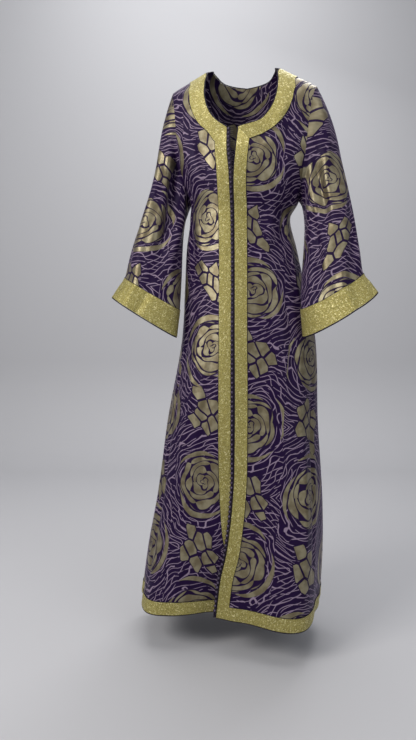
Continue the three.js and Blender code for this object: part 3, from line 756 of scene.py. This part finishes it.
# Creases: from and to on the flat pattern, whose u is 0 along the top and grows to the front.
RIGHT_SLEEVE_CREASES = [
    (98, 20, 118, -560, 31, -30), (44, -60, 52, -600, 24, 9), (150, -160, 150, -560, 20, 9),
    (10, -240, 24, -600, 20, -6), (-60, -80, -80, -560, 26, -9), (-120, -200, -126, -600, 22, 7),
    (150, -60, 140, -330, 18, -7), (60, -420, 70, -720, 18, 5), (100, -520, 104, -760, 16, -5),
]
LEFT_SLEEVE_CREASES = [
    (70, 10, 150, -300, 27, -26), (34, -40, 84, -330, 22, 9), (120, -60, 150, -420, 16, 6),
    (96, -200, 100, -440, 24, -18), (16, -300, 40, -600, 26, -8), (-60, -80, -80, -560, 26, -9),
    (-120, -200, -126, -600, 22, 7), (132, -330, 126, -640, 20, -9), (60, -430, 76, -740, 20, 7),
    (-10, -480, 4, -740, 18, 5),
]


def sleeve_cloth(side, creases):
    """The grid of one sleeve: rows down from the armhole, columns round from the inner seam."""
    turn = np.linspace(-math.pi, math.pi, AROUND, endpoint=False)
    armhole = []
    for angle in turn:
        seam_angle, seam_z = side_place(SKIRT_ROWS + CHEST_ROWS * (1 - abs(angle) / math.pi))
        armhole.append((seam_angle if angle >= 0 else math.pi - seam_angle, seam_z))
    armhole = np.array(armhole)
    knots = [body_points(armhole[:, 0] * side, armhole[:, 1])]
    out = (1 + np.cos(turn)) / 2
    for outer_x, outer_z, inner_x, inner_z, middle, deep, bow, sag in SLEEVE:
        bow, sag = (bow, sag) if side > 0 else (0, 0)
        x = (inner_x + (outer_x + bow - inner_x) * out) * side
        z = inner_z + (outer_z - inner_z) * out - sag * np.maximum(np.sin(turn), 0)
        knots.append(tilted(np.stack([x, middle - deep * np.sin(turn), z], -1)))
    knots = np.array(knots)
    knots = np.concatenate([2 * knots[:1] - knots[1:2], knots, 2 * knots[-1:] - knots[-2:-1]])
    rows = []
    for place in np.linspace(0, len(SLEEVE), RING_STEPS * len(SLEEVE) + 1):
        i = min(int(place), len(SLEEVE) - 1)
        s = place - i
        before, start, end, after = knots[i:i + 4]
        rows.append(0.5 * (2 * start + (end - before) * s
                           + (2 * before - 5 * start + 4 * end - after) * s ** 2
                           + (3 * start - before - 3 * end + after) * s ** 3))
    points = np.array(rows)
    flat = flat_sleeve(points)
    points = creased(points, ring_facing(points), flat, creases, from_seam(flat.shape[:2], first_row=True))
    return {"points": points, "normals": ring_facing(points), "flat": flat}


def ring_facing(points):
    wrapped = np.concatenate([points[:, -2:], points, points[:, :2]], axis=1)
    return facing(wrapped, wrapped.mean(1, keepdims=True))[:, 2:-2]


def flat_sleeve(points):
    """Flat-pattern coordinates on a sleeve: round it and along it, square to its own length."""
    arm = points[-1].mean(0) - points[0].mean(0)
    arm /= np.linalg.norm(arm)
    wrapped = np.concatenate([points, points[:, :1]], axis=1)
    step = np.diff(wrapped, axis=1)
    step -= (step @ arm)[..., None] * arm
    around = np.cumsum(np.linalg.norm(step, axis=-1), axis=1)
    u = np.hstack([np.zeros((len(points), 1)), around[:, :-1]])
    u -= u[:, AROUND // 2][:, None]
    return np.stack([u, -(points - points[0, AROUND // 2]) @ arm], -1)


sleeves = {"left": sleeve_cloth(1, LEFT_SLEEVE_CREASES),
           "right": sleeve_cloth(-1, RIGHT_SLEEVE_CREASES)}
for name, sleeve in sleeves.items():
    sewn("sleeve_" + name, sleeve, ring=True)

# ---- The gold braid ---------------------------------------------------------------------------
# Woven braid of glittering gold thread, 32 mm wide down the fronts and along the hem, wider
# round the neck, and in two rows on the cuffs. It is sewn flat on the brocade.
BRAID = 1.2
MITRE_GAP = 0.06
braid_material, g = new_material("gold braid")
mg = math_of(g)
place = add_node(g, "TexCoord", {})["Object"]
flat_braid = add_node(g, "UVMap", {}, uv_map="flat")[0]


def glitter(scale):
    """Three random numbers for each grain of the thread."""
    grains = add_node(g, "TexVoronoi", {"Vector": place, "Scale": scale})
    return add_node(g, "SeparateColor", {0: grains["Color"]})


fine, coarse = glitter(620), glitter(330)
# A few grains glint. They are smoother, which gives real glints, and their paler colour below is partly a
# painted glint that shows bright under any light.
glint = mg("MULTIPLY", ramp(g, coarse[0], 0.55, 1.0), ramp(g, fine[0], 0.35, 1.0))
dull = mixed(g, fine[1], (0.215, 0.180, 0.045, 1), (0.44, 0.385, 0.125, 1))
ribs = add_node(g, "TexWave", {"Vector": flat_braid, "Scale": 160}, bands_direction="DIAGONAL")["Fac"]
relief = mg("ADD", mg("MULTIPLY", fine[2], 0.8), mg("MULTIPLY", ribs, 0.4))
shade(g, {
    "Base Color": mixed(g, glint, dull, (0.85, 0.78, 0.42, 1)),
    "Metallic": 0.55,
    "Roughness": mg("SUBTRACT", 0.50, mg("MULTIPLY", glint, 0.22)),
    "Normal": bump(g, relief, 0.9, 0.0012),
})


def part_of(grid, rows, columns):
    return {key: value[rows, columns].copy() for key, value in grid.items()}


def shortened(grid):
    """Draws the last row back a little, so that the next band doesn't touch it."""
    grid["points"][-1] += MITRE_GAP * (grid["points"][-2] - grid["points"][-1])
    return grid


def braid(name, zone, ring=False):
    piece = shell(name + "_band", zone, GAP, GAP + BRAID, ring)
    attach(piece, braid_material, "gold_braid", name)
    return piece


def chained(zones):
    """One grid out of several that follow each other along their rows and share an end row."""
    points, normals = (np.concatenate([zone[key][:-1] for zone in zones[:-1]] + [zones[-1][key]])
                       for key in ("points", "normals"))
    along = np.r_[0, np.cumsum(np.linalg.norm(np.diff(points, axis=0), axis=-1).mean(1))]
    across = np.linalg.norm(points - points[:, :1], axis=-1)
    return {"points": points, "normals": normals, "flat": np.stack([across, along[:, None] + 0 * across], -1)}


def turned(zone):
    return {key: value[::-1] for key, value in zone.items()}


def swapped(zone):
    return {key: np.swapaxes(value, 0, 1) for key, value in zone.items()}


under_braid = slice(0, STRIP + 1)
neck_of = {}
for name, front in fronts.items():
    placket = shortened(part_of(front, slice(0, PLACKET_END + 1), under_braid))
    braid("braid_front_" + name, placket)
    neck_of[name] = part_of(front, slice(PLACKET_END, None), under_braid)
neck_behind = turned(swapped(turned(part_of(back, slice(NECK_FROM, None), slice(None)))))
neck_band = chained([neck_of["left"], neck_behind, turned(neck_of["right"])])
braid("braid_neck", neck_band)


def hem_of(grid, columns):
    return swapped(part_of(grid, slice(0, HEM_STEPS + 1), columns))


hem_band = chained([hem_of(fronts["left"], slice(STRIP, None)), turned(hem_of(back, slice(None))),
                    turned(hem_of(fronts["right"], slice(STRIP, None)))])
braid("braid_hem", hem_band)
cuff_top, cuff_end = CUFF_FROM * RING_STEPS, len(SLEEVE) * RING_STEPS
cuff_middle = (cuff_top + cuff_end) // 2
for name, sleeve in sleeves.items():
    lower = part_of(sleeve, slice(cuff_middle, cuff_end + 1), slice(None))
    upper = shortened(part_of(sleeve, slice(cuff_top, cuff_middle + 1), slice(None)))
    first = braid("braid_cuff_" + name, lower, ring=True)
    second = shell("cuff_row", upper, GAP, GAP + BRAID, ring=True)
    second.data.materials.append(braid_material)
    joined([first, second])

# ---- The piping -------------------------------------------------------------------------------
# A dark purple satin cord, 2.8 mm thick, closes the neck, the left front edge, the hem and the
# cuffs. A finer one is couched along each braid's inner edge.
PIPING = 1.4
COUCHED = 0.8


def cord_material(name, scale, dark, light, roughness):
    """A satin cord's material, its nodes and the noise of its strands. The noise mixes in the lighter colour,
    which on the knots is partly a painted highlight.
    """
    made, nodes = new_material(name)
    strands = noise(nodes, add_node(nodes, "TexCoord", {})["Object"], scale)["Fac"]
    shade(nodes, {"Base Color": mixed(nodes, strands, dark, light), "Roughness": roughness})
    return made, nodes, strands


piping_material, c, strands = cord_material("dark satin cord", 260.0, (0.004, 0.002, 0.007, 1),
                                            (0.014, 0.007, 0.024, 1), 0.55)
shade(c, {"Specular IOR Level": 0.2, "Normal": bump(c, strands, 0.5, 0.0005)})


def tube(name, path, normals, radius, aside, above, closed=False, sides=8):
    """A cord beside a line on the cloth, on the right of the way it runs."""
    if closed:
        along = np.roll(path, -1, 0) - np.roll(path, 1, 0)
    else:
        along = np.gradient(path, axis=0)
    along /= np.linalg.norm(along, axis=-1, keepdims=True)
    out = np.cross(along, normals)
    out /= np.linalg.norm(out, axis=-1, keepdims=True)
    up = np.cross(out, along)
    middle = path + out * aside + up * above
    turn = np.linspace(0, 2 * math.pi, sides, endpoint=False)[None, :, None]
    ring = middle[:, None] + radius * (out[:, None] * np.cos(turn) + up[:, None] * np.sin(turn))
    count = len(path)
    index = np.arange(len(path) * sides).reshape(-1, sides)
    index = np.hstack([index, index[:, :1]])
    if closed:
        index = np.vstack([index, index[:1]])
    quads = quads_of(index)[:, ::-1].tolist()
    if not closed:
        quads += [index[0, :-1].tolist(), index[-1, :-1][::-1].tolist()]
    made = add_mesh(name, ring, quads)
    made.data.shade_smooth()
    return made


def edge_cord(name, grid, rows, columns, closed=False):
    line = part_of(grid, rows, columns)
    made = tube(name + "_cord", line["points"], line["normals"], PIPING, GAP + PIPING,
                (BRAID - CLOTH) / 2, closed)
    attach(made, piping_material, "piping", name)


def couched_cord(name, grid, rows, columns, closed=False):
    line = part_of(grid, rows, columns)
    made = tube(name, line["points"], line["normals"], COUCHED, 0, GAP + COUCHED, closed, sides=6)
    attach(made, piping_material, "piping")


whole, backwards = slice(None), slice(None, None, -1)
edge_cord("piping_neck", neck_band, backwards, 0)
edge_cord("piping_front", fronts["left"], slice(PLACKET_END, None, -1), 0)
hem_line = {key: np.concatenate([fronts["left"][key][0, :STRIP], hem_band[key][:, 0],
                                 fronts["right"][key][0, :STRIP][::-1]]) for key in ("points", "normals")}
edge_cord("piping_hem", hem_line, whole, whole)
for name, sleeve in sleeves.items():
    edge_cord("piping_cuff_" + name, sleeve, -1, backwards if name == "left" else whole, closed=True)
couched_cord("couched_neck", neck_band, whole, -1)
couched_cord("couched_hem", hem_band, whole, -1)
for name, front in fronts.items():
    couched_cord("couched_front_" + name, front, slice(HEM_STEPS, PLACKET_END + 1), STRIP)
for name, sleeve in sleeves.items():
    couched_cord("couched_cuff_" + name, sleeve, cuff_top, whole, closed=True)

# ---- The knots and loops ----------------------------------------------------------------------
# A dark tape between the front edges carries a close row of small knots of satin cord. A loop of
# finer cord comes from the left edge round each knot.
STRIP_DEPTH = 3
STRIP_WIDTH = 10
CROSSING = 60
KNOT_PITCH = 12
KNOT_RING = 2.3
KNOT_CORD = 1.05
KNOT_LEAN = 62
LOOP_CORD = 0.6
LOOP_DEPTH, LOOP_HALF = 4.1, 3.3
LOOP_SINK = 0.7
LEG_LONGEST = 14
LEG_END, LEG_MIDDLE = 1.6, 2.6
KNOT_TURN = 14
KNOT_SIZES = (0.93, 1.05)
beside_piping = 2 * PIPING + 2 * GAP


def tape_edges(z):
    lapped = smooth(-z, -LAP_TOP - CROSSING, -LAP_TOP + CROSSING)
    stop = left_edge(z) - beside_piping
    start = right_edge(z) + GAP
    start = start + (stop - STRIP_WIDTH / 2 - start) * lapped
    return start, np.minimum(start + STRIP_WIDTH, stop)


def on_front(x, z):
    return body_points(angle_at(x, z), z, left_drawn_in)


levels = np.r_[HEM, np.linspace(SKIRT_TOP, NECK_CORNER, len(rows_below))]
start, stop = tape_edges(levels)
half_depth = np.array([0, STRIP_DEPTH / 2, 0])
tape = np.stack([on_front(start, levels) - half_depth, on_front(stop, levels) - half_depth,
                 on_front(stop, levels) + half_depth, on_front(start, levels) + half_depth], 1)
index = np.arange(tape.shape[0] * 4).reshape(-1, 4)
faces = quads_of(np.hstack([index, index[:, :1]])).tolist()
faces += [index[0, ::-1].tolist(), index[-1].tolist()]
tape_piece = add_mesh("button_tape", tape, faces)
# The knots' pale lilac is partly a painted highlight: noise spots it over the dark cord whatever the light,
# besides the real gloss of the low roughness.
knot_material, _, _ = cord_material("knotted satin cord", 300.0, (0.016, 0.009, 0.026, 1),
                                    (0.150, 0.115, 0.190, 1), 0.2)
attach(tape_piece, piping_material, "knotted_cord", "button_strip")

bpy.ops.object.select_all(action="DESELECT")
rings = []
for turn in (0, 60, 120):
    bpy.ops.mesh.primitive_torus_add(major_segments=12, minor_segments=6, major_radius=KNOT_RING * MM,
                                     minor_radius=KNOT_CORD * MM)
    ring = bpy.context.object
    for degrees, axis in ((KNOT_LEAN, "X"), (turn, "Z"), (90, "X")):
        ring.data.transform(Matrix.Rotation(math.radians(degrees), 4, axis))
    rings.append(ring)
knot = joined(rings)
knot.data.shade_smooth()

heights = np.arange(NECK_CORNER - KNOT_PITCH / 2, HEM + KNOT_PITCH / 2, -KNOT_PITCH)
draw = random.Random(11)
knots, loops = [], []
u_turn = np.linspace(-math.pi / 2, math.pi / 2, 9)
bow = np.stack([-LOOP_DEPTH * np.cos(u_turn), 0 * u_turn, LOOP_HALF * np.sin(u_turn)], -1)
for height in heights:
    start, stop = tape_edges(height)
    middle = float(start + stop) / 2
    spot = on_front(np.array(middle), np.array(height, float)) + (0, -STRIP_DEPTH / 2 - KNOT_CORD, 0)
    copy = add_object("knot", knot.data.copy())
    copy.data.transform(Matrix.Translation(Vector((spot * MM).tolist()))
                        @ Matrix.Rotation(math.radians(draw.uniform(-KNOT_TURN, KNOT_TURN)), 4, "Y")
                        @ Matrix.Scale(draw.uniform(*KNOT_SIZES), 4))
    knots.append(copy)
    reach = min(float(left_edge(height)) - middle - PIPING, LEG_LONGEST)
    legs = np.array([[reach, 0, LEG_END], [reach * 0.5, 0, LEG_MIDDLE]])
    path = np.vstack([legs * (1, 1, -1), bow, legs[::-1]]) + spot + (0, KNOT_CORD - LOOP_SINK, 0)
    forward = np.tile((0.0, -1.0, 0.0), (len(path), 1))
    loops.append(tube("loop", path, forward, LOOP_CORD, 0, 0, sides=5))
bpy.data.objects.remove(knot)
for name, parts, material, slot in (("knots", knots, knot_material, "knotted_cord"),
                                    ("loops", loops, piping_material, "piping")):
    row_of = joined(parts)
    row_of.name = name
    attach(row_of, material, slot)
